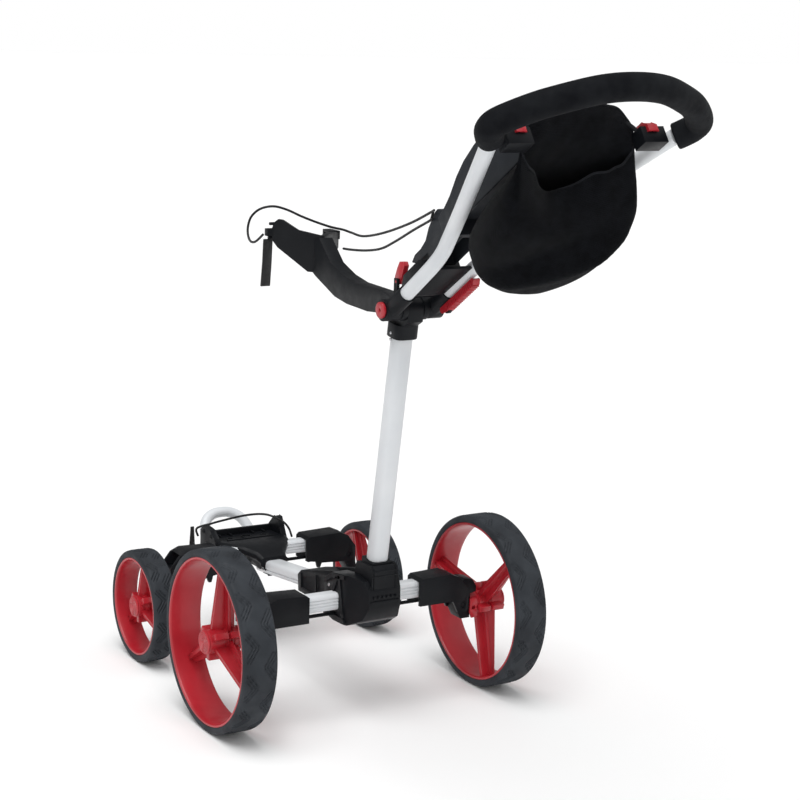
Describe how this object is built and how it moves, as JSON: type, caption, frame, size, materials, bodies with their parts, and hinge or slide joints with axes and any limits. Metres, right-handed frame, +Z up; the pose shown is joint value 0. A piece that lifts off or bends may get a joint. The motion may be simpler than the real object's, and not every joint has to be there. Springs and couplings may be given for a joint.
{
  "type": "golf push trolley",
  "caption": "Folding golf push trolley with red spoked wheels, a leaning white post, a bag cradle, a tubular handle with a foam grip, a console tray and a net bag.",
  "frame": {"origin": "centre of the trolley's footprint, on the ground", "axes": "+Z up; +Y from the front wheels to the pusher; +X to the pusher's left-hand wheels as they are named here"},
  "size_m": [0.5518, 1.1844, 1.052],
  "materials": {
    "white_paint": "satin white powder coat",
    "black_plastic": "moulded, fine grain",
    "grey_plastic": "moulded, fine grain",
    "red_plastic": "moulded, semi-gloss",
    "tyre": "solid foam-filled tread",
    "foam": "closed-cell foam",
    "net": "stretch mesh",
    "webbing": "woven",
    "elastic": "braided sheath over elastic",
    "steel": "zinc plated"
  },
  "bodies": {
    "chassis": {"arm_casing_rear_left": "black_plastic", "arm_casing_rear_right": "black_plastic", "arm_casing_front_left": "black_plastic", "arm_casing_front_right": "black_plastic", "rear_cross_bar": "white_paint", "front_cross_bar": "white_paint", "centre_beam": "white_paint", "hub_body": "black_plastic", "beam_socket": "black_plastic", "post_pivot_pin": "steel", "bag_platform": "black_plastic", "front_loop": "white_paint", "lower_bungee": "elastic", "lower_strap": "webbing"},
    "post": {"post_foot": "black_plastic", "post": "white_paint", "post_head": "black_plastic", "barrel_bolt": "steel", "barrel_cap": "red_plastic"},
    "cradle": {"bag_cradle": "black_plastic", "cradle_strap": "webbing", "upper_bungee": "elastic"},
    "handle": {"handle_tube_left": "white_paint", "handle_tube_right": "white_paint", "foam_grip": "foam", "handle_yoke": "grey_plastic", "console_tray": "grey_plastic", "net_bag": "net", "bag_frame": "black_plastic"},
    "thumb_lever": {"thumb_lever": "red_plastic"},
    "release_lever": {"release_lever": "red_plastic"},
    "bag_latch_left": {"bag_latch_left": "red_plastic"},
    "bag_latch_right": {"bag_latch_right": "red_plastic"},
    "knuckle_rear_left": {"knuckle_rear_left": "black_plastic", "axle_rear_left": "steel", "wheel_catch_rear_left": "red_plastic"},
    "wheel_rear_left": {"tyre_rear_left": "tyre", "rim_rear_left": "red_plastic", "hub_cap_rear_left": "red_plastic"},
    "link_rod_rear_left": {"link_rod_rear_left": "black_plastic"},
    "knuckle_rear_right": {"knuckle_rear_right": "black_plastic", "axle_rear_right": "steel", "wheel_catch_rear_right": "red_plastic"},
    "wheel_rear_right": {"tyre_rear_right": "tyre", "rim_rear_right": "red_plastic", "hub_cap_rear_right": "red_plastic"},
    "link_rod_rear_right": {"link_rod_rear_right": "black_plastic"},
    "knuckle_front_left": {"knuckle_front_left": "black_plastic", "axle_front_left": "steel"},
    "wheel_front_left": {"tyre_front_left": "tyre", "rim_front_left": "red_plastic", "hub_cap_front_left": "red_plastic"},
    "link_rod_front_left": {"link_rod_front_left": "black_plastic"},
    "knuckle_front_right": {"knuckle_front_right": "black_plastic", "axle_front_right": "steel"},
    "wheel_front_right": {"tyre_front_right": "tyre", "rim_front_right": "red_plastic", "hub_cap_front_right": "red_plastic"},
    "link_rod_front_right": {"link_rod_front_right": "black_plastic"}
  },
  "joints": [
    {"name": "post_fold", "type": "hinge", "parent": "chassis", "child": "post", "pos_m": [0, -0.0259, 0.212], "axis": [1, 0, 0], "range_deg": [0, 90]},
    {"name": "cradle_fold", "type": "hinge", "parent": "post", "child": "cradle", "pos_m": [0, 0.0561, 0.674], "axis": [1, 0, 0], "range_deg": [-90, 0], "deforming": ["upper_bungee"]},
    {"name": "handle_fold", "type": "hinge", "parent": "post", "child": "handle", "pos_m": [0, 0.0561, 0.674], "axis": [1, 0, 0], "range_deg": [-125, 0], "deforming": ["net_bag"]},
    {"name": "wheel_fold_rear_left", "type": "hinge", "parent": "chassis", "child": "knuckle_rear_left", "pos_m": [0.187, -0.0699, 0.15], "axis": [0, 1, 0], "range_deg": [0, 90]},
    {"name": "wheel_spin_rear_left", "type": "hinge", "parent": "knuckle_rear_left", "child": "wheel_rear_left", "pos_m": [0.2466, -0.0739, 0.145], "axis": [1, 0, 0], "continuous": true},
    {"name": "link_slide_rear_left", "type": "slide", "parent": "chassis", "child": "link_rod_rear_left", "axis": [-1, 0, 0], "range_m": [0, 0.015]},
    {"name": "wheel_fold_rear_right", "type": "hinge", "parent": "chassis", "child": "knuckle_rear_right", "pos_m": [-0.187, -0.0699, 0.15], "axis": [0, 1, 0], "range_deg": [-90, 0]},
    {"name": "wheel_spin_rear_right", "type": "hinge", "parent": "knuckle_rear_right", "child": "wheel_rear_right", "pos_m": [-0.2466, -0.0739, 0.145], "axis": [1, 0, 0], "continuous": true},
    {"name": "link_slide_rear_right", "type": "slide", "parent": "chassis", "child": "link_rod_rear_right", "axis": [1, 0, 0], "range_m": [0, 0.015]},
    {"name": "wheel_fold_front_left", "type": "hinge", "parent": "chassis", "child": "knuckle_front_left", "pos_m": [0.168, -0.4209, 0.146], "axis": [0, 1, 0], "range_deg": [0, 90]},
    {"name": "wheel_spin_front_left", "type": "hinge", "parent": "knuckle_front_left", "child": "wheel_front_left", "pos_m": [0.221, -0.4209, 0.0967], "axis": [1, 0, 0], "continuous": true},
    {"name": "link_slide_front_left", "type": "slide", "parent": "chassis", "child": "link_rod_front_left", "axis": [-1, 0, 0], "range_m": [0, 0.015]},
    {"name": "wheel_fold_front_right", "type": "hinge", "parent": "chassis", "child": "knuckle_front_right", "pos_m": [-0.168, -0.4209, 0.146], "axis": [0, 1, 0], "range_deg": [-90, 0]},
    {"name": "wheel_spin_front_right", "type": "hinge", "parent": "knuckle_front_right", "child": "wheel_front_right", "pos_m": [-0.221, -0.4209, 0.0967], "axis": [1, 0, 0], "continuous": true},
    {"name": "link_slide_front_right", "type": "slide", "parent": "chassis", "child": "link_rod_front_right", "axis": [1, 0, 0], "range_m": [0, 0.015]},
    {"name": "thumb_lever_press", "type": "hinge", "parent": "handle", "child": "thumb_lever", "pos_m": [0.0185, 0.0561, 0.716], "axis": [1, 0, 0], "range_deg": [0, 25], "stiffness_Nm_per_rad": 0.3, "springref_deg": -11.46},
    {"name": "release_squeeze", "type": "hinge", "parent": "handle", "child": "release_lever", "pos_m": [-0.037, 0.10263, 0.6777], "axis": [1, 0, 0], "range_deg": [0, 2], "stiffness_Nm_per_rad": 4, "springref_deg": -2.86},
    {"name": "bag_latch_press_left", "type": "slide", "parent": "handle", "child": "bag_latch_left", "axis": [0, 0.5726, -0.8199], "range_m": [0, 0.003], "stiffness_N_per_m": 300, "springref_m": -0.001},
    {"name": "bag_latch_press_right", "type": "slide", "parent": "handle", "child": "bag_latch_right", "axis": [0, 0.5726, -0.8199], "range_m": [0, 0.003], "stiffness_N_per_m": 300, "springref_m": -0.001}
  ],
  "couplings": [
    {"joint": "cradle_fold", "follows": "post_fold", "ratio": -1},
    {"joint": "wheel_fold_rear_left", "follows": "post_fold", "ratio": 1},
    {"joint": "link_slide_rear_left", "follows": "post_fold", "m_per_rad": 0.00954},
    {"joint": "wheel_fold_rear_right", "follows": "post_fold", "ratio": -1},
    {"joint": "link_slide_rear_right", "follows": "post_fold", "m_per_rad": 0.00954},
    {"joint": "wheel_fold_front_left", "follows": "post_fold", "ratio": 1},
    {"joint": "link_slide_front_left", "follows": "post_fold", "m_per_rad": 0.00954},
    {"joint": "wheel_fold_front_right", "follows": "post_fold", "ratio": -1},
    {"joint": "link_slide_front_right", "follows": "post_fold", "m_per_rad": 0.00954}
  ]
}
